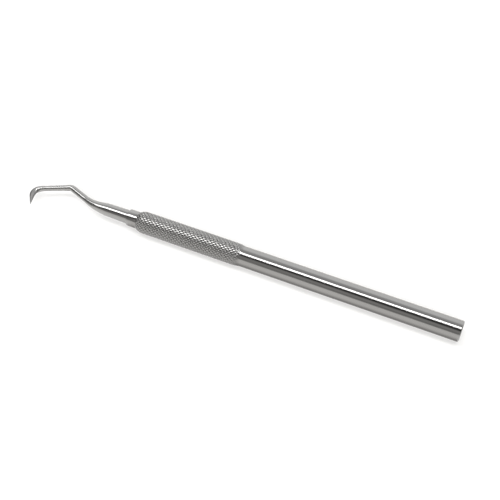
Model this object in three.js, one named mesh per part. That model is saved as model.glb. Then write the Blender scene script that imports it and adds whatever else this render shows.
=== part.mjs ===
// Single-ended dental explorer: a hollow knurled handle, a pressed-in nose collar,
// a one-piece working end with a hooked point, and a plug that closes the tail.
// Millimetres, +Z up. The handle's axis is parallel to X with the tail towards +X.
// The instrument lies on its side, so the working end bends in the horizontal plane of that axis.

import * as THREE from "three";

// Driving dimensions.
const BARREL_DIAMETER = 7.5;
const GRIP_DIAMETER = 8.2; // over the crests of the knurl
const BORE_DIAMETER = 6.0;
const TUBE_LENGTH = 122.45;
const GRIP_LENGTH = 42.3; // knurled length, front nose and rear run-out included
const GRIP_NOSE_DIAMETER = 6.6;
const GRIP_NOSE_LENGTH = 2.6; // the nose is rounded: steep at the front, level at its back
const GRIP_NOSE_STEPS = 4;
const GRIP_RUNOUT_LENGTH = 3.6;
const TAIL_EDGE_RADIUS = 0.5;

const COLLAR_DIAMETER = 6.3;
const COLLAR_LENGTH = 4.1; // the part that shows in front of the tube
const COLLAR_EDGE = 0.3;
const COLLAR_SPIGOT_LENGTH = 11.0;

const PLUG_LENGTH = 7.0;
const PLUG_EDGE = 0.25;

const TANG_DIAMETER = 3.2;
const TANG_LENGTH = 12.0;
const RADIAL_FIT = 0.05; // between pressed pieces
const FACE_FIT = 0.05; // between shoulders that meet

// The working end, from the collar's face to the tip: straight legs joined by round bends.
// Headings are degrees from straight ahead of the handle, positive towards -Y.
const SHANK_LEG = 15.25;
const RISING_LEG = 12.4;
const ARM_LEG = 14.5;
const POINT_LEG = 7.7;
const RISING_HEADING = -20.2;
const ARM_HEADING = 25.4;
const POINT_HEADING = 113.0;
const BEND_SETBACKS = [4.0, 1.1, 4.0]; // how far before and after each corner its bend reaches

// Width of the shank and arm, at distances from the collar's face.
const SHANK_TAPER = [
  [0.0, 5.2],
  [9.4, 4.85],
  [13.0, 3.85],
  [15.8, 3.1],
  [19.0, 2.45],
  [26.9, 2.5],
  [30.4, 2.1],
  [37.5, 1.9],
];
// Width of the hooked point, at distances back from the tip. It is no thicker than the arm.
const POINT_TAPER = [
  [0.0, 0.14],
  [5.0, 2.1],
  [7.2, 2.5],
];
const POINT_THICKNESS = 1.7;
const TIP_ROUNDING = 0.06;

const TURNED_SEGMENTS = 24; // a multiple of 4, so that flats face down, up and to both sides
const SHANK_SEGMENTS = 24;
const STRAIGHT_STEP = 1.6; // spacing of the shank's rings where it is straight
const BEND_STEP = 0.45; // and where it bends

// Stations along the handle's axis, measured from the collar's front face.
const collarBack = COLLAR_LENGTH;
const tubeFront = collarBack + FACE_FIT;
const tubeBack = tubeFront + TUBE_LENGTH;
const gripBack = tubeFront + GRIP_LENGTH;

const polished = { color: 0xc9cacb, roughness: 0.18, metalness: 1.0 };
const knurled = { color: 0xb4b5b6, roughness: 0.35, metalness: 1.0 };

// Turns a profile of [station, radius] pairs about the handle's axis. The radii are measured to the
// middles of the flats, and one flat faces straight down, so the handle lies without rolling.
function turned(profile) {
  const halfFlat = Math.PI / TURNED_SEGMENTS;
  const toCorner = 1 / Math.cos(halfFlat);
  const points = profile.map(([station, radius]) => new THREE.Vector2(radius * toCorner, station));
  const geometry = new THREE.LatheGeometry(points, TURNED_SEGMENTS, halfFlat);
  return geometry.rotateZ(-Math.PI / 2);
}

// A quarter round from a cylinder of the given radius onto a face at the given station.
function roundedEdge(station, radius, edge) {
  const steps = 4;
  const points = [];
  for (let i = 0; i <= steps; i += 1) {
    const angle = (i / steps) * (Math.PI / 2);
    points.push([station - edge * (1 - Math.sin(angle)), radius - edge * (1 - Math.cos(angle))]);
  }
  return points;
}

function piece(name, geometry, finish) {
  const mesh = new THREE.Mesh(geometry, new THREE.MeshStandardMaterial(finish));
  mesh.name = name;
  return mesh;
}

// Knurled grip and plain barrel in one tube, open at both ends.
function handleTube() {
  const bore = BORE_DIAMETER / 2;
  const gripNose = [];
  for (let k = 0; k <= GRIP_NOSE_STEPS; k++) {
    const along = k / GRIP_NOSE_STEPS;
    const drop = ((GRIP_DIAMETER - GRIP_NOSE_DIAMETER) / 2) * (1 - along) ** 2;
    gripNose.push([tubeFront + GRIP_NOSE_LENGTH * along, GRIP_DIAMETER / 2 - drop]);
  }
  const profile = [
    [tubeFront, bore],
    ...gripNose,
    [gripBack - GRIP_RUNOUT_LENGTH, GRIP_DIAMETER / 2],
    [gripBack, BARREL_DIAMETER / 2],
    ...roundedEdge(tubeBack, BARREL_DIAMETER / 2, TAIL_EDGE_RADIUS),
    [tubeBack, bore],
    [tubeFront, bore],
  ];
  return piece("handle_tube", turned(profile), knurled);
}

// Plain collar with a spigot that is pressed into the tube and bored for the tang.
function noseCollar() {
  const bore = TANG_DIAMETER / 2 + RADIAL_FIT;
  const outer = COLLAR_DIAMETER / 2;
  const spigot = BORE_DIAMETER / 2 - RADIAL_FIT;
  const spigotBack = collarBack + COLLAR_SPIGOT_LENGTH;
  const profile = [
    [0, bore],
    [0, outer - COLLAR_EDGE],
    [COLLAR_EDGE, outer],
    [collarBack, outer],
    [collarBack, spigot],
    [spigotBack - COLLAR_EDGE, spigot],
    [spigotBack, spigot - COLLAR_EDGE],
    [spigotBack, bore],
    [0, bore],
  ];
  return piece("nose_collar", turned(profile), polished);
}

// Plug that closes the bore, flush with the tube's end.
function tailPlug() {
  const radius = BORE_DIAMETER / 2 - RADIAL_FIT;
  const front = tubeBack - PLUG_LENGTH;
  const profile = [
    [front, 0],
    [front, radius - PLUG_EDGE],
    [front + PLUG_EDGE, radius],
    [tubeBack - PLUG_EDGE, radius],
    [tubeBack, radius - PLUG_EDGE],
    [tubeBack, 0],
  ];
  return piece("tail_plug", turned(profile), polished);
}

// Centre line of the working end in the XY plane, from the collar's face to the tip.
function workingEndPath() {
  const legs = [
    [SHANK_LEG, 0],
    [RISING_LEG, RISING_HEADING],
    [ARM_LEG, ARM_HEADING],
    [POINT_LEG, POINT_HEADING],
  ];
  const path = new THREE.CurvePath();
  let corner = new THREE.Vector2(-FACE_FIT, 0);
  let start = corner;
  legs.forEach(([length, heading], i) => {
    const angle = THREE.MathUtils.degToRad(180 + heading);
    const along = new THREE.Vector2(Math.cos(angle), Math.sin(angle));
    if (i > 0) {
      const bendEnd = corner.clone().addScaledVector(along, BEND_SETBACKS[i - 1]);
      path.add(new THREE.QuadraticBezierCurve(start, corner, bendEnd));
      start = bendEnd;
    }
    const next = corner.clone().addScaledVector(along, length);
    const setback = i < BEND_SETBACKS.length ? BEND_SETBACKS[i] : 0;
    const legEnd = next.clone().addScaledVector(along, -setback);
    path.add(new THREE.LineCurve(start, legEnd));
    corner = next;
    start = legEnd;
  });
  return path;
}

// [distance, width] of the working end, from the collar's face to the tip.
function widthTable(length) {
  const point = POINT_TAPER.map(([back, width]) => [length - back, width]);
  return [...SHANK_TAPER, ...point.reverse()];
}

function widthAt(table, distance) {
  const after = Math.max(1, table.findIndex(([station]) => station >= distance));
  const [s0, w0] = table[after - 1];
  const [s1, w1] = table[after];
  return THREE.MathUtils.lerp(w0, w1, (distance - s0) / (s1 - s0));
}

// [distance, radius] rings of the working end: the tang, the shoulder, the shank and the point.
function workingEndRings(path, table) {
  const rings = [
    [-TANG_LENGTH, 0],
    [-TANG_LENGTH, TANG_DIAMETER / 2 - COLLAR_EDGE],
    [-TANG_LENGTH + COLLAR_EDGE, TANG_DIAMETER / 2],
    [0, TANG_DIAMETER / 2],
  ];
  let distance = 0;
  path.curves.forEach((curve) => {
    const length = curve.getLength();
    const steps = Math.ceil(length / (curve.isQuadraticBezierCurve ? BEND_STEP : STRAIGHT_STEP));
    for (let i = 0; i < steps; i += 1) {
      const at = distance + (i / steps) * length;
      rings.push([at, widthAt(table, at) / 2]);
    }
    distance += length;
  });
  const tip = distance - TIP_ROUNDING;
  rings.push([tip, widthAt(table, tip) / 2], [distance, 0]);
  return rings;
}

// The tang, shank, arm and hooked point: a turned blank bent along the centre line, with the
// point flattened to the arm's thickness.
function workingEnd() {
  const path = workingEndPath();
  const length = path.getLength();
  const table = widthTable(length);
  const rings = workingEndRings(path, table);
  const points = rings.map(([at, radius]) => new THREE.Vector2(radius, at));
  const geometry = new THREE.LatheGeometry(points, SHANK_SEGMENTS);
  const position = geometry.getAttribute("position");
  const pointStart = length - POINT_TAPER[POINT_TAPER.length - 1][0];
  for (let i = 0; i < position.count; i += 1) {
    const side = position.getX(i);
    const distance = position.getY(i);
    const inPath = THREE.MathUtils.clamp(distance, 0, length);
    const centre = path.getPoint(inPath / length);
    const along = path.getTangent(inPath / length);
    const behind = distance - inPath;
    const flatten = Math.min(1, POINT_THICKNESS / widthAt(table, Math.max(inPath, pointStart)));
    position.setXYZ(
      i,
      centre.x + along.x * behind - along.y * side,
      centre.y + along.y * behind + along.x * side,
      -position.getZ(i) * (distance > pointStart ? flatten : 1), // mirrored to keep faces out
    );
  }
  return piece("working_end", geometry, polished);
}

const instrument = new THREE.Group();
instrument.add(handleTube(), noseCollar(), tailPlug(), workingEnd());

// The origin is the middle of the footprint, on the surface that the instrument lies on.
const extent = new THREE.Box3().setFromObject(instrument, true);
const middle = extent.getCenter(new THREE.Vector3());
instrument.position.set(-middle.x, -middle.y, -extent.min.z);

const explorer = new THREE.Group();
explorer.add(instrument);

export default explorer;
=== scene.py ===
"""Looks for the dental explorer: knurled handle, nose collar, hooked working end and tail plug.

Metres, in the CAD frame: the handle lies along X with its tail towards +X, and the hook points
to -Y. Each piece replaces the CAD node of the same shape with a finely modelled one.
"""

import math

import bmesh
import bpy
import numpy as np
from mathutils import Matrix, Vector


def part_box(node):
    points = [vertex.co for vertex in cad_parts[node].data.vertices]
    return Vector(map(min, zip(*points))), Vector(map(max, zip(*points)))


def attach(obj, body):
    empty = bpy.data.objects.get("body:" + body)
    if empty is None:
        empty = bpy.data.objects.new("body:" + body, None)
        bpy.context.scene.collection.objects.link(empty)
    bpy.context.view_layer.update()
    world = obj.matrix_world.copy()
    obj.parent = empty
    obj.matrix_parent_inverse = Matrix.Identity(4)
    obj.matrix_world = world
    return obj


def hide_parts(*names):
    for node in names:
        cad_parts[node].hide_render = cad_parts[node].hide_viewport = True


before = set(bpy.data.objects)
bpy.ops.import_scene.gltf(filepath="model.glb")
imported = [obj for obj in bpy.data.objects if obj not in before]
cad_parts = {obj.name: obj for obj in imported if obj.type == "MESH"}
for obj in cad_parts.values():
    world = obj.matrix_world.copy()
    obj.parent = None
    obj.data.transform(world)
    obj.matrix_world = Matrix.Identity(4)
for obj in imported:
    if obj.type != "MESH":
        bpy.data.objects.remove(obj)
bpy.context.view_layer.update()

MM = 0.001

# Where the CAD puts things.
tube_lo, tube_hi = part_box("handle_tube")
collar_lo, collar_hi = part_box("nose_collar")
plug_lo, plug_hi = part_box("tail_plug")
_, end_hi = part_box("working_end")
AXIS_Y = (tube_lo.y + tube_hi.y) / 2
AXIS_Z = (tube_lo.z + tube_hi.z) / 2
CREST_RADIUS = (tube_hi.z - tube_lo.z) / 2
COLLAR_RADIUS = (collar_hi.z - collar_lo.z) / 2
PLUG_RADIUS = (plug_hi.z - plug_lo.z) / 2
TUBE_FRONT = tube_lo.x
TUBE_BACK = tube_hi.x
COLLAR_FRONT = collar_lo.x
SPIGOT_BACK = collar_hi.x
PLUG_FRONT = plug_lo.x
TANG_BACK = end_hi.x

BORE_RADIUS = 3.0 * MM
FIT = 0.05 * MM  # between pieces that are pressed together


# ---------------------------------------------------------------- meshes
def make_mesh(name, vertices, faces, sharp_degrees=40.0):
    """A smooth object whose edges sharper than sharp_degrees stay crisp."""
    mesh = bpy.data.meshes.new(name)
    mesh.from_pydata([tuple(v) for v in vertices], [], [tuple(f) for f in faces])
    mesh.update()
    bm = bmesh.new()
    bm.from_mesh(mesh)
    bmesh.ops.recalc_face_normals(bm, faces=bm.faces)
    bm.to_mesh(mesh)
    bm.free()
    mesh.polygons.foreach_set("use_smooth", [True] * len(mesh.polygons))
    mesh.set_sharp_from_angle(angle=math.radians(sharp_degrees))
    mesh.update()
    piece = bpy.data.objects.new(name, mesh)
    bpy.context.scene.collection.objects.link(piece)
    return piece


def smoothstep(t):
    """0 to 1 with level ends, for t from 0 to 1; held outside."""
    t = np.clip(t, 0.0, 1.0)
    return t * t * (3 - 2 * t)


def turned_grid(xs, radii):
    """Vertices of rings about the handle's axis; radii is rings x segments."""
    rings, segments = radii.shape
    angle = np.arange(segments) * (2 * math.pi / segments)
    out = np.empty((rings, segments, 3))
    out[..., 0] = np.asarray(xs)[:, None]
    out[..., 1] = AXIS_Y + radii * np.cos(angle)
    out[..., 2] = AXIS_Z + radii * np.sin(angle)
    return out.reshape(-1, 3)


def even_radii(profile, segments):
    """Rings x segments of radii, for rings that are round."""
    return np.repeat(np.array([r for _, r in profile])[:, None], segments, axis=1)


def quad_strip(ring_a, ring_b, segments):
    """Faces between two rings of a grid."""
    i = np.arange(segments)
    j = (i + 1) % segments
    return np.stack([ring_a * segments + i, ring_a * segments + j,
                     ring_b * segments + j, ring_b * segments + i], axis=1).tolist()


def turned_piece(name, profile, segments, closed_loop):
    """A turned piece from (x, radius) pairs: a ring-shaped one, or one closed by end points."""
    poles = []
    if not closed_loop:
        poles = [profile[0], profile[-1]]
        profile = profile[1:-1]
    count = len(profile)
    vertices = list(turned_grid([x for x, _ in profile], even_radii(profile, segments)))
    faces = []
    for k in range(count if closed_loop else count - 1):
        faces.extend(quad_strip(k, (k + 1) % count, segments))
    for (x, _), ring in zip(poles, (0, count - 1)):
        pole = len(vertices)
        vertices.append((x, AXIS_Y, AXIS_Z))
        for i in range(segments):
            faces.append([pole, ring * segments + i, ring * segments + (i + 1) % segments])
    return make_mesh(name, vertices, faces)


def rounded_corner(x, radius, edge, steps, facing):
    """Points of a quarter round at a corner; facing is +1 where the face looks to +X."""
    out = []
    for k in range(steps + 1):
        a = k / steps * math.pi / 2
        out.append((x - facing * edge * (1 - math.sin(a)), radius - edge * (1 - math.cos(a))))
    return out if facing > 0 else out[::-1]


# ---------------------------------------------------------------- handle
BARREL_RADIUS = 3.75 * MM
BARREL_RINGS = 24
BORE_RINGS = 6
TAIL_EDGE = 0.5 * MM
TAIL_EDGE_STEPS = 8
BORE_BACK_CHAMFER = 0.12 * MM
BORE_FRONT_CHAMFER = 0.1 * MM

GRIP_LENGTH = 42.3 * MM
GRIP_NOSE_RADIUS = 3.3 * MM
GRIP_NOSE_LENGTH = 2.6 * MM
GRIP_RUNOUT = 3.6 * MM

# The knurl is two families of rolled grooves, one to each hand, that cross at diamonds.
KNURL_STARTS = 16
KNURL_PITCH = 1.6 * MM
KNURL_DEPTH = 0.13 * MM
KNURL_SHALLOW = 0.6  # depth of the shallower family, as a part of the other's
KNURL_FLANK = 0.15  # half width of a groove, in cells of the knurl
KNURL_CROWN = 0.12 * MM  # fall of each diamond from its middle to its corners
KNURL_LEAD_IN = 0.6 * MM
KNURL_CELL_STEPS = 12


def groove(distance):
    """Depth of a groove, 1 in its middle; distance is in cells of the knurl."""
    rise = np.minimum(1.0, distance / KNURL_FLANK)
    return (1 - rise) ** 2


def from_whole(value):
    """Distance to the nearest whole number, which is where a groove runs."""
    return np.abs(value - np.round(value))


def knurl_faces(u, v, segments):
    """Triangles of the knurl's grid, cut so that grooves and ridges stay straight."""
    faces = []
    for k in range(len(u) - 1):
        a = k * segments + np.arange(segments)
        b = k * segments + (np.arange(segments) + 1) % segments
        c = b + segments
        d = a + segments
        cut_ac = (from_whole(v[k]) < from_whole(u[k] + 1.0 / KNURL_CELL_STEPS))[:, None]
        first = np.where(cut_ac, np.stack([a, b, c], 1), np.stack([a, b, d], 1))
        second = np.where(cut_ac, np.stack([a, c, d], 1), np.stack([b, c, d], 1))
        faces.extend(first.tolist())
        faces.extend(second.tolist())
    return faces


def build_handle():
    segments = KNURL_STARTS * KNURL_CELL_STEPS
    grip_back = TUBE_FRONT + GRIP_LENGTH
    knurl_rings = round(GRIP_LENGTH / (KNURL_PITCH / KNURL_CELL_STEPS))
    xs = TUBE_FRONT + np.arange(knurl_rings + 1) * (GRIP_LENGTH / knurl_rings)
    i = np.arange(segments)[None, :]
    j = np.arange(knurl_rings + 1)[:, None]
    u = (i + j) / KNURL_CELL_STEPS
    v = (i - j) / KNURL_CELL_STEPS
    du = from_whole(u)
    dv = from_whole(v)
    crown = 2 * KNURL_CROWN * ((0.5 - du) ** 2 + (0.5 - dv) ** 2)
    cut = KNURL_DEPTH * np.maximum(groove(du) * KNURL_SHALLOW, groove(dv)) + crown

    # The grip has a rounded nose and runs out into the barrel; the knurl fades at both ends.
    along = xs[:, None] - TUBE_FRONT
    fade = smoothstep((GRIP_LENGTH - along) / GRIP_RUNOUT)
    crest = BARREL_RADIUS + (CREST_RADIUS - BARREL_RADIUS) * fade
    short = 1 - np.clip(along / GRIP_NOSE_LENGTH, 0.0, 1.0)
    nose = CREST_RADIUS - (CREST_RADIUS - GRIP_NOSE_RADIUS) * short ** 2
    lead = np.clip(along / KNURL_LEAD_IN, 0.0, 1.0)
    radii = np.minimum(crest, nose) - cut * fade * lead

    # Barrel, tail edge, and the bore back to the front.
    barrel_xs = np.linspace(grip_back, TUBE_BACK - TAIL_EDGE, BARREL_RINGS)[1:-1]
    bore_xs = np.linspace(TUBE_BACK - 1 * MM, TUBE_FRONT + BORE_FRONT_CHAMFER, BORE_RINGS)
    rest = [(x, BARREL_RADIUS) for x in barrel_xs]
    rest += rounded_corner(TUBE_BACK, BARREL_RADIUS, TAIL_EDGE, TAIL_EDGE_STEPS, 1)
    rest += [(TUBE_BACK, BORE_RADIUS + BORE_BACK_CHAMFER),
             (TUBE_BACK - BORE_BACK_CHAMFER, BORE_RADIUS)]
    rest += [(x, BORE_RADIUS) for x in bore_xs]
    rest += [(TUBE_FRONT, BORE_RADIUS + BORE_FRONT_CHAMFER)]
    all_xs = np.concatenate([xs, [x for x, _ in rest]])
    all_radii = np.concatenate([radii, even_radii(rest, segments)], axis=0)

    faces = knurl_faces(u, v, segments)
    total = len(all_xs)
    for k in range(knurl_rings, total):
        faces.extend(quad_strip(k, (k + 1) % total, segments))
    return make_mesh("knurled_handle", turned_grid(all_xs, all_radii), faces)


# ---------------------------------------------------------------- collar and plug
ROUND_SEGMENTS = 128
COLLAR_EDGE = 0.3 * MM
COLLAR_EDGE_STEPS = 6
COLLAR_BACK_EDGE = 0.12 * MM
COLLAR_BACK_EDGE_STEPS = 4
COLLAR_FACE_LAND = 0.1 * MM
COLLAR_RINGS = (1.2 * MM, 2.4 * MM)  # rings along its side, from the front
TANG_RADIUS = 1.6 * MM
PLUG_EDGE = 0.22 * MM
PLUG_EDGE_STEPS = 5
PLUG_SEAT = 2.0 * MM
PLUG_FACE_RADII = (2.2 * MM, 1.5 * MM, 0.8 * MM)


def build_collar():
    bore = TANG_RADIUS + FIT
    back = TUBE_FRONT - FIT
    spigot = BORE_RADIUS - FIT
    profile = [(COLLAR_FRONT, bore),
               (COLLAR_FRONT, COLLAR_RADIUS - COLLAR_EDGE - COLLAR_FACE_LAND)]
    profile += rounded_corner(COLLAR_FRONT, COLLAR_RADIUS, COLLAR_EDGE, COLLAR_EDGE_STEPS, -1)
    profile += [(COLLAR_FRONT + x, COLLAR_RADIUS) for x in COLLAR_RINGS]
    profile += rounded_corner(back, COLLAR_RADIUS, COLLAR_BACK_EDGE, COLLAR_BACK_EDGE_STEPS, 1)
    profile += [(back, spigot), (SPIGOT_BACK - COLLAR_EDGE, spigot)]
    profile += [(SPIGOT_BACK, spigot - COLLAR_EDGE), (SPIGOT_BACK, bore)]
    return turned_piece("turned_collar", profile, ROUND_SEGMENTS, True)


def build_plug():
    profile = [(PLUG_FRONT, 0.0), (PLUG_FRONT, PLUG_RADIUS - PLUG_EDGE),
               (PLUG_FRONT + PLUG_EDGE, PLUG_RADIUS), (TUBE_BACK - PLUG_SEAT, PLUG_RADIUS)]
    profile += rounded_corner(TUBE_BACK, PLUG_RADIUS, PLUG_EDGE, PLUG_EDGE_STEPS, 1)
    profile += [(TUBE_BACK, r) for r in PLUG_FACE_RADII]
    profile += [(TUBE_BACK, 0.0)]
    return turned_piece("faced_tail_plug", profile, ROUND_SEGMENTS, False)


# ---------------------------------------------------------------- working end, in mm
# Each leg's length and its heading in degrees from straight ahead, positive towards -Y.
LEGS = [(15.25, 0.0), (12.4, -20.2), (14.5, 25.4), (7.7, 113.0)]
BEND_SETBACKS = [4.0, 1.1, 4.0]  # how far before and after each corner its bend reaches
LEG_STEPS = 60
# Width at distances from the collar's face, and at distances back from the tip.
SHANK_TAPER = [(0, 5.2), (9.4, 4.85), (13, 3.85), (15.8, 3.1), (19, 2.45),
               (26.9, 2.5), (30.4, 2.1), (37.5, 1.9)]
POINT_TAPER = [(7.2, 2.5), (5.0, 2.1), (0.0, 0.14)]
TAPER_SAMPLES = 2000
TAPER_BLUR = 30  # samples to each side over which the taper's corners are smoothed
TIP_UNBLURRED = 1.5
TIP_ROUNDING = 0.06
# The point's ground section: where each flat faces in degrees (0 is the inside of the hook, 90 is
# up), and its distance from the middle as a part of the half width.
POINT_FLATS = [(0, 1.0), (40, 0.847), (90, 0.9), (120, 0.93),
               (180, 1.0), (240, 0.93), (270, 0.9), (320, 0.847)]
POINT_THICKNESS = 1.7
FLATS_GROW = (1.2, 3.0)  # how far before the point the flats start, and over what length
THINNING = (1.5, 2.0)  # the same for the point's lesser thickness
GROUND_AND_SHADE_OUTSIDE = 0.35  # how far the flats off the hook's inside are ground and painted with shade, as a part of it
INSIDE_COSINES = (0.75, 0.90)  # of the angle from the inside, where its full grinding and painted shade grow
RING_STEP = 0.12
TIP_RINGS = [0.45, 0.3, 0.2, 0.12, 0.06, 0.025]
TIP_RINGS_START = 0.6
END_SEGMENTS = 64
END_SHARP_DEGREES = 50.0
TANG_CHAMFER = 0.3 * MM


def working_end_path():
    """Points of the centre line, in the plane of the bends, from the collar to the tip."""
    points = []
    corner = np.array([-FIT / MM, 0.0])
    start = corner
    t = np.linspace(0, 1, LEG_STEPS)[:, None]
    for k, (length, heading) in enumerate(LEGS):
        a = math.radians(180 + heading)
        along = np.array([math.cos(a), math.sin(a)])
        if k > 0:
            end = corner + along * BEND_SETBACKS[k - 1]
            points.append((1 - t) ** 2 * start + 2 * t * (1 - t) * corner + t ** 2 * end)
            start = end
        next_corner = corner + along * length
        setback = BEND_SETBACKS[k] if k < len(BEND_SETBACKS) else 0.0
        end = next_corner - along * setback
        points.append(start + (end - start) * t)
        corner = next_corner
        start = end
    points = np.concatenate(points)
    moved = np.linalg.norm(np.diff(points, axis=0), axis=1) > 1e-6
    return points[np.concatenate([[True], moved])]


def widths_along(s, length):
    """Width at each distance s from the collar, with the taper's corners smoothed."""
    table = SHANK_TAPER + [(length - back, width) for back, width in POINT_TAPER]
    fine = np.linspace(0, length, TAPER_SAMPLES)
    raw = np.interp(fine, [a for a, _ in table], [w for _, w in table])
    kernel = np.hanning(2 * TAPER_BLUR + 1)
    kernel /= kernel.sum()
    before = np.full(TAPER_BLUR, raw[0])
    after = raw[-1] + np.arange(1, TAPER_BLUR + 1) * (raw[-1] - raw[-2])
    smooth = np.convolve(np.concatenate([before, raw, after]), kernel, mode="valid")
    blend = np.clip((length - fine) / TIP_UNBLURRED, 0, 1)
    width = np.interp(s, fine, smooth * blend + raw * (1 - blend))
    tip = np.clip((length - s) / TIP_ROUNDING, 0, 1)
    return width * np.sqrt(np.clip(1 - (1 - tip) ** 2, 0, 1))


def ground_section(angle):
    """Distance from the middle to the nearest of the point's flats, at each angle."""
    reach = np.full(len(angle), np.inf)
    for facing, distance in POINT_FLATS:
        toward = np.cos(angle - math.radians(facing))
        to_flat = np.minimum(reach, distance / np.maximum(toward, 0.1))
        reach = np.where(toward > 0.1, to_flat, reach)
    return reach


def build_working_end():
    path = working_end_path()
    run = np.concatenate([[0], np.cumsum(np.linalg.norm(np.diff(path, axis=0), axis=1))])
    length = run[-1]
    s = np.concatenate([np.linspace(0, length - TIP_RINGS_START, int(length / RING_STEP)),
                        length - np.array(TIP_RINGS)])
    cx = np.interp(s, run, path[:, 0])
    cy = np.interp(s, run, path[:, 1])
    tx = np.gradient(cx, s)
    ty = np.gradient(cy, s)
    norm = np.hypot(tx, ty)
    tx, ty = tx / norm, ty / norm

    into_point = s - (length - POINT_TAPER[0][0])
    facet = smoothstep((into_point + FLATS_GROW[0]) / FLATS_GROW[1])
    thinner = smoothstep((into_point + THINNING[0]) / THINNING[1])
    width = widths_along(s, length)
    thickness = width + (np.minimum(width, POINT_THICKNESS) - width) * thinner

    angle = np.arange(END_SEGMENTS) * (2 * math.pi / END_SEGMENTS)
    ca, sa = np.cos(angle), np.sin(angle)
    section = ground_section(angle)
    tang = []
    for x, r in ((TANG_BACK, TANG_RADIUS - TANG_CHAMFER), (TANG_BACK - TANG_CHAMFER, TANG_RADIUS),
                 (COLLAR_FRONT - FIT, TANG_RADIUS)):
        ring = [np.full(END_SEGMENTS, x), AXIS_Y - r * ca, AXIS_Z + r * sa]
        tang.append(np.stack(ring, axis=1))
    rings = list(tang)
    for k in range(len(s)):
        scale = 1 + (section - 1) * facet[k]
        side = width[k] / 2 * ca * scale
        up = thickness[k] / 2 * sa * scale
        x = cx[k] - ty[k] * side
        y = cy[k] + tx[k] * side
        ring = [COLLAR_FRONT + x * MM, AXIS_Y + y * MM, AXIS_Z + up * MM]
        rings.append(np.stack(ring, axis=1))

    vertices = list(np.concatenate(rings))
    faces = []
    for k in range(len(rings) - 1):
        faces.extend(quad_strip(k, k + 1, END_SEGMENTS))
    back = len(vertices)
    vertices.append((TANG_BACK, AXIS_Y, AXIS_Z))
    front = len(vertices)
    vertices.append((COLLAR_FRONT + path[-1][0] * MM, AXIS_Y + path[-1][1] * MM, AXIS_Z))
    last = (len(rings) - 1) * END_SEGMENTS
    for i in range(END_SEGMENTS):
        j = (i + 1) % END_SEGMENTS
        faces.append([back, j, i])
        faces.append([front, last + i, last + j])
    piece = make_mesh("hooked_working_end", vertices, faces, END_SHARP_DEGREES)

    # How far each vertex is ground and painted with shade, for the material: most on the inside of
    # the hook.
    low, high = INSIDE_COSINES
    inside = GROUND_AND_SHADE_OUTSIDE + (1 - GROUND_AND_SHADE_OUTSIDE) * np.clip((ca - low) / (high - low), 0, 1)
    ground_and_painted_shade = np.concatenate([np.zeros(len(tang) * END_SEGMENTS),
                             np.outer(facet, inside).ravel(), [0.0, 1.0]])
    piece.data.attributes.new("ground_and_painted_shade", "FLOAT", "POINT").data.foreach_set("value", ground_and_painted_shade)
    return piece


# ---------------------------------------------------------------- materials
class Graph:
    """Short calls for making nodes and links."""

    def __init__(self, tree):
        self.tree = tree

    def node(self, kind, values=None, **props):
        made = self.tree.nodes.new(kind)
        for key, value in props.items():
            setattr(made, key, value)
        for key, value in (values or {}).items():
            self.feed(made.inputs[key], value)
        return made

    def feed(self, socket, value):
        if isinstance(value, bpy.types.NodeSocket):
            self.tree.links.new(value, socket)
        else:
            socket.default_value = value

    def math(self, operation, a, b=0.0, clamp=False):
        made = self.node("ShaderNodeMath", {0: a, 1: b}, operation=operation)
        made.use_clamp = clamp
        return made.outputs[0]

    def add(self, a, b, clamp=False):
        return self.math("ADD", a, b, clamp)

    def times(self, a, b):
        return self.math("MULTIPLY", a, b)

    def ramp(self, value, low, high, to_low=0.0, to_high=1.0):
        made = self.node("ShaderNodeMapRange", {"Value": value, "From Min": low, "From Max": high,
                                                "To Min": to_low, "To Max": to_high})
        return made.outputs["Result"]

    def mix(self, factor, a, b, clamp=True):
        made = self.node("ShaderNodeMix", {0: factor, 6: a, 7: b}, data_type="RGBA",
                         clamp_factor=clamp)
        return made.outputs[2]

    def noise(self, vector, scale, detail=3.0, roughness=0.55, distortion=0.0):
        made = self.node("ShaderNodeTexNoise", {"Vector": vector, "Scale": scale, "Detail": detail,
                                                "Roughness": roughness, "Distortion": distortion})
        return made.outputs["Fac"]

    def stretched(self, vector, scale):
        return self.node("ShaderNodeMapping", {"Vector": vector, "Scale": scale}).outputs["Vector"]

    def place(self, kind):
        """Texture coordinates of one kind, whole and split into X, Y and Z."""
        whole = self.node("ShaderNodeTexCoord").outputs[kind]
        return whole, self.node("ShaderNodeSeparateXYZ", {"Vector": whole}).outputs


STEEL = (0.38, 0.377, 0.371, 1.0)
BLACK = (0.0, 0.0, 0.0, 1.0)
BUMP_DISTANCE = 2.0e-5

# Scales of the noises, per metre: (along X, along Y, along Z) where they are stretched.
TURNING_LINES = (14000.0, 260.0, 260.0)
FORGED_LINES = (900.0, 9000.0, 900.0)
SCRATCHES = (500.0, 6500.0, 6500.0)
GRINDING_MARKS = (1500.0, 12000.0, 1500.0)
GRAIN = 9000.0
WAVES = 170.0
SMUDGES = 130.0
CLOUDS = 45.0

GRIP_MASK = (0.2 * MM, 1.6 * MM)  # where the grip's finish grows, forward from the grip's back
WORN_EDGE = (0.55 * MM, 0.1 * MM)  # where the tail's wear grows, forward from the tail
GRIP_TINT = 0.92
VALLEY_TINT = 0.85
# painted shade: how dark the point's flats are painted, most on the inside of the hook
HOOK_PAINTED_SHADE = 0.54
# painted reflection: how much lighter the arm's and the point's colour is made
ARM_PAINTED_LIGHT = 1.12
SATIN_ROUGHNESS = 0.15
SATIN_START = COLLAR_FRONT - 24 * MM  # the arm and the point have a duller polish than the shank, and their colour is lightened there as painted reflection
SATIN_GROWS = 5 * MM


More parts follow.
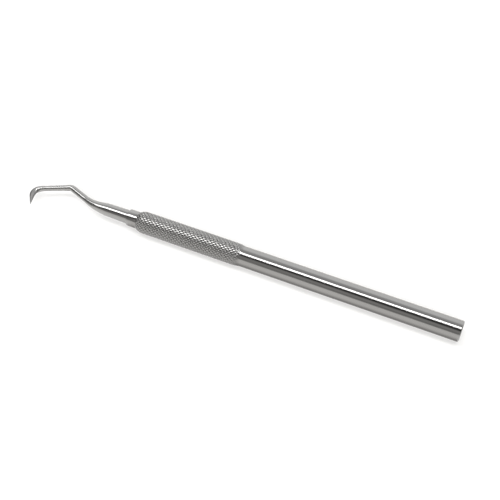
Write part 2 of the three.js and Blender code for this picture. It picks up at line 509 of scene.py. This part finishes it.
def steel(name, roughness, waviness, turned=True, knurled=False, ground_and_painted_shade=False):
    """Polished steel; the knurled one dulls in the grooves; the ground one dulls on the point,
    with painted shade on its flats and its arm and point lightened as painted reflection.
    """
    mat = bpy.data.materials.new(name)
    mat.use_nodes = True
    g = Graph(mat.node_tree)
    bsdf = mat.node_tree.nodes["Principled BSDF"]
    bsdf.inputs["Metallic"].default_value = 1.0
    place, parts = g.place("Object")

    smudge = g.noise(place, SMUDGES, 3.0, 0.6, 0.4)
    cloud = g.noise(place, CLOUDS, 2.0)
    line_scale = TURNING_LINES if turned else FORGED_LINES
    lines = g.noise(g.stretched(place, line_scale), 1.0, 2.0, 0.6)
    scratch = g.ramp(g.noise(g.stretched(place, SCRATCHES), 1.0, 1.0, 0.5, 0.6), 0.66, 0.74)
    waves = g.noise(place, WAVES, 2.0, 0.45)

    rough = g.add(roughness - 0.05, g.times(smudge, 0.07))
    rough = g.add(rough, g.times(lines, 0.035))
    rough = g.add(rough, g.times(scratch, 0.06))
    tint = g.add(0.93, g.times(cloud, 0.10))
    height = g.add(g.times(lines, 0.06), g.times(scratch, -0.12))
    height = g.add(height, g.times(waves, waviness))

    if knurled:
        dy = g.math("SUBTRACT", parts["Y"], AXIS_Y)
        dz = g.math("SUBTRACT", parts["Z"], AXIS_Z)
        radial = g.math("SQRT", g.add(g.times(dy, dy), g.times(dz, dz)))
        grip_back = TUBE_FRONT + GRIP_LENGTH
        in_grip = g.ramp(parts["X"], grip_back - GRIP_MASK[0], grip_back - GRIP_MASK[1])
        depth = g.ramp(radial, CREST_RADIUS, CREST_RADIUS - KNURL_DEPTH - KNURL_CROWN / 2)
        valley = g.times(depth, in_grip)
        grain = g.noise(place, GRAIN, 2.0)
        rough = g.add(rough, g.times(in_grip, 0.01))
        rough = g.add(rough, g.times(valley, g.add(0.06, g.times(grain, 0.10))))
        tint = g.times(tint, g.ramp(in_grip, 0.0, 1.0, 1.0, GRIP_TINT))
        tint = g.times(tint, g.ramp(valley, 0.0, 1.0, 1.0, VALLEY_TINT))
        height = g.add(height, g.times(g.times(grain, in_grip), 0.25))

    if ground_and_painted_shade:
        # The point's flats are rougher from grinding, and darker as painted shade, most on the
        # inside of the hook.
        face = g.node("ShaderNodeAttribute", attribute_name="ground_and_painted_shade").outputs["Fac"]
        marks = g.noise(g.stretched(place, GRINDING_MARKS), 1.0, 2.0, 0.6)
        rough = g.add(rough, g.times(face, g.add(0.10, g.times(marks, 0.12))))
        tint = g.times(tint, g.ramp(face, 0.0, 1.0, 1.0, HOOK_PAINTED_SHADE))
        # The arm and the point are rougher, and lighter in colour as painted reflection.
        satin_and_painted_light = g.ramp(parts["X"], SATIN_START, SATIN_START - SATIN_GROWS)
        rough = g.add(rough, g.times(satin_and_painted_light, SATIN_ROUGHNESS))
        tint = g.times(tint, g.ramp(satin_and_painted_light, 0.0, 1.0, 1.0, ARM_PAINTED_LIGHT))

    # The tail's edge is a little worn.
    worn = g.ramp(parts["X"], TUBE_BACK - WORN_EDGE[0], TUBE_BACK - WORN_EDGE[1])
    rough = g.add(rough, g.times(worn, 0.10), clamp=True)

    g.feed(bsdf.inputs["Base Color"], g.mix(tint, BLACK, STEEL, clamp=False))
    g.feed(bsdf.inputs["Roughness"], rough)
    bump = g.node("ShaderNodeBump", {"Strength": 1.0, "Distance": BUMP_DISTANCE, "Height": height})
    g.feed(bsdf.inputs["Normal"], bump.outputs["Normal"])
    return mat


handle = build_handle()
handle.data.materials.append(steel("polished_knurled_steel", 0.13, 1.2, knurled=True))
collar = build_collar()
collar.data.materials.append(steel("turned_collar_steel", 0.12, 0.6))
plug = build_plug()
plug.data.materials.append(steel("faced_plug_steel", 0.18, 0.6))
working = build_working_end()
working.data.materials.append(steel("working_end_steel", 0.12, 0.8, turned=False, ground_and_painted_shade=True))

for piece, node, slot in ((handle, "handle_tube", "handle_steel"),
                          (collar, "nose_collar", "collar_steel"),
                          (plug, "tail_plug", "plug_steel"),
                          (working, "working_end", "working_end_steel")):
    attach(piece, "root")
    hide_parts(node)

# ---------------------------------------------------------------- studio
FLOOR_HALF = 2.5
FLOOR_COLOUR = (0.6, 0.597, 0.592, 1.0)
FLOOR_GLOW = (1.0, 0.995, 0.985, 1.0)
FLOOR_GLOW_STRENGTH = 0.36


def build_floor():
    """A plain pale floor. The steel reflects the room's lower half in its place."""
    bm = bmesh.new()
    bmesh.ops.create_grid(bm, x_segments=8, y_segments=8, size=FLOOR_HALF)
    mesh = bpy.data.meshes.new("floor")
    bm.to_mesh(mesh)
    bm.free()
    floor = bpy.data.objects.new("floor", mesh)
    bpy.context.scene.collection.objects.link(floor)
    mat = bpy.data.materials.new("pale_floor")
    mat.use_nodes = True
    g = Graph(mat.node_tree)
    bsdf = mat.node_tree.nodes["Principled BSDF"]
    place, _ = g.place("Object")
    cloud = g.noise(place, 6.0, 3.0)
    bsdf.inputs["Base Color"].default_value = FLOOR_COLOUR
    bsdf.inputs["Emission Color"].default_value = FLOOR_GLOW
    bsdf.inputs["Emission Strength"].default_value = FLOOR_GLOW_STRENGTH
    g.feed(bsdf.inputs["Roughness"], g.ramp(cloud, 0.0, 1.0, 0.75, 0.9))
    bsdf.inputs["Specular IOR Level"].default_value = 0.0
    floor.data.materials.append(mat)
    floor.visible_glossy = False


build_floor()

# The room's brightness by angle about X: 0 is the front horizon, 90 straight up, 180 the back
# horizon, and minus is below. Right and left differ above the horizon.
ROOM_BELOW = [(-180, 1.0), (-140, 0.9), (-115, 0.46), (-64, 0.46),
              (-44, 0.8), (-25, 1.0), (-8, 1.0)]
ROOM_RIGHT = [(0, 1.0), (9, 0.98), (14, 0.34), (24, 0.30), (36, 0.42), (50, 0.37),
              (57, 0.04), (69, 0.03), (74, 0.2), (80, 0.44), (108, 0.46), (118, 0.53),
              (127, 0.73), (138, 1.08), (155, 1.12), (180, 1.05)]
ROOM_LEFT = [(0, 1.0), (12, 0.95), (18, 0.38), (34, 0.25), (46, 0.2), (58, 0.13),
             (66, 0.13), (74, 0.25), (80, 0.5), (82.5, 3.4), (93, 3.4), (94.5, 0.5),
             (104, 0.55), (122, 0.78), (136, 1.1), (148, 1.2), (180, 1.1)]
WARM_BELOW_DEGREES = 80
WARM_BLUE = 0.96  # blue as a part of red, in the warm part of the room
ROOM_ENDS = (0.24, 0.24, 0.235, 1.0)
ROOM_LOW_SIDES = (1.15, 1.145, 1.13, 1.0)
WHITE = (1.0, 1.0, 1.0, 1.0)


def room_band(g, fraction, stops):
    """Colour by angle, where fraction runs from 0 at -180 degrees to 1 at 180."""
    made = g.node("ShaderNodeValToRGB", {"Fac": fraction})
    band = made.color_ramp
    while len(band.elements) < len(stops):
        band.elements.new(0.5)
    for element, (degrees, value) in zip(band.elements, stops):
        element.position = degrees / 360 + 0.5
        blue = 1.0 if degrees > WARM_BELOW_DEGREES else WARM_BLUE
        element.color = (value, value * (1 + blue) / 2, value * blue, 1.0)
    return made.outputs["Color"]


def build_room():
    """Soft bright and dark bands for the steel to reflect; seen directly, the room is white."""
    world = bpy.data.worlds.new("room")
    bpy.context.scene.world = world
    world.use_nodes = True
    g = Graph(world.node_tree)
    background = world.node_tree.nodes["Background"]
    _, toward = g.place("Generated")
    angle = g.math("ARCTAN2", toward["Z"], g.times(toward["Y"], -1.0))
    fraction = g.add(g.math("DIVIDE", angle, 2 * math.pi), 0.5)
    left = g.ramp(toward["X"], -0.22, -0.42)
    room = g.mix(left, room_band(g, fraction, ROOM_BELOW + ROOM_RIGHT),
                 room_band(g, fraction, ROOM_BELOW + ROOM_LEFT))
    beyond = g.ramp(g.math("ABSOLUTE", toward["X"]), 0.72, 0.80)
    room = g.mix(beyond, room, ROOM_ENDS)
    aside = g.math("MAXIMUM", g.ramp(toward["X"], -0.365, -0.40), g.ramp(toward["X"], 0.05, 0.12))
    room = g.mix(g.times(aside, g.ramp(toward["Z"], 0.0, -0.3)), room, ROOM_LOW_SIDES)
    seen = g.node("ShaderNodeLightPath").outputs["Is Camera Ray"]
    g.feed(background.inputs["Color"], g.mix(seen, room, WHITE))
    background.inputs["Strength"].default_value = 1.0


build_room()


def area_light(name, location, target, size_x, size_y, radiance, turn=0.0):
    """A panel that faces target, its size_x along X once turned about Z."""
    data = bpy.data.lights.new(name, "AREA")
    data.shape = "RECTANGLE"
    data.size = size_x
    data.size_y = size_y
    data.energy = radiance * math.pi * size_x * size_y
    light = bpy.data.objects.new(name, data)
    bpy.context.scene.collection.objects.link(light)
    light.location = location
    back = (Vector(location) - Vector(target)).normalized()
    side = Vector((math.cos(turn), math.sin(turn), 0))
    up = back.cross(side).normalized()
    side = up.cross(back).normalized()
    light.rotation_euler = Matrix((side, up, back)).transposed().to_euler()
    return light


KEY_LENGTH, KEY_WIDTH, KEY_RADIANCE = 1.1, 0.142, 5.0
FILL_LENGTH, FILL_WIDTH, FILL_RADIANCE = 0.7, 0.5, 8.0
FILL_PLACE = (0.15, -0.85, 0.80)
KEY_X = -0.12
KEY_HEIGHT = 0.60
KEY_ELEVATION = math.radians(87)
KEY_TURN = math.radians(12)
KEY_PIVOT = 0.2  # how far to the right of the key's middle its turn leaves it in place
key_y = AXIS_Y - KEY_HEIGHT / math.tan(KEY_ELEVATION) - KEY_PIVOT * math.tan(KEY_TURN)
area_light("key", (KEY_X, key_y, KEY_HEIGHT), (KEY_X, AXIS_Y, AXIS_Z),
           KEY_LENGTH, KEY_WIDTH, KEY_RADIANCE, KEY_TURN)
fill = area_light("fill", FILL_PLACE, (0.0, 0.0, 0.0), FILL_LENGTH, FILL_WIDTH, FILL_RADIANCE)
fill.visible_glossy = False

# ---------------------------------------------------------------- camera
CAMERA_AZIMUTH = math.radians(23.56)
CAMERA_ELEVATION = math.radians(51.6)
CAMERA_DISTANCE = 0.3366
CAMERA_TARGET = Vector((TUBE_BACK - 79.4 * MM, AXIS_Y + 3.7 * MM, AXIS_Z))
CAMERA_LENS = 67.33
camera_data = bpy.data.cameras.new("camera")
camera_data.sensor_width = 36.0
camera_data.lens = CAMERA_LENS
camera_data.clip_start = 0.01
camera = bpy.data.objects.new("camera", camera_data)
bpy.context.scene.collection.objects.link(camera)
away = Vector((math.sin(CAMERA_AZIMUTH) * math.cos(CAMERA_ELEVATION),
               -math.cos(CAMERA_AZIMUTH) * math.cos(CAMERA_ELEVATION), math.sin(CAMERA_ELEVATION)))
camera.location = CAMERA_TARGET + away * CAMERA_DISTANCE
camera.rotation_euler = away.to_track_quat("Z", "Y").to_euler()
bpy.context.scene.camera = camera

view = bpy.context.scene.view_settings
view.view_transform = "Standard"
view.look = "None"
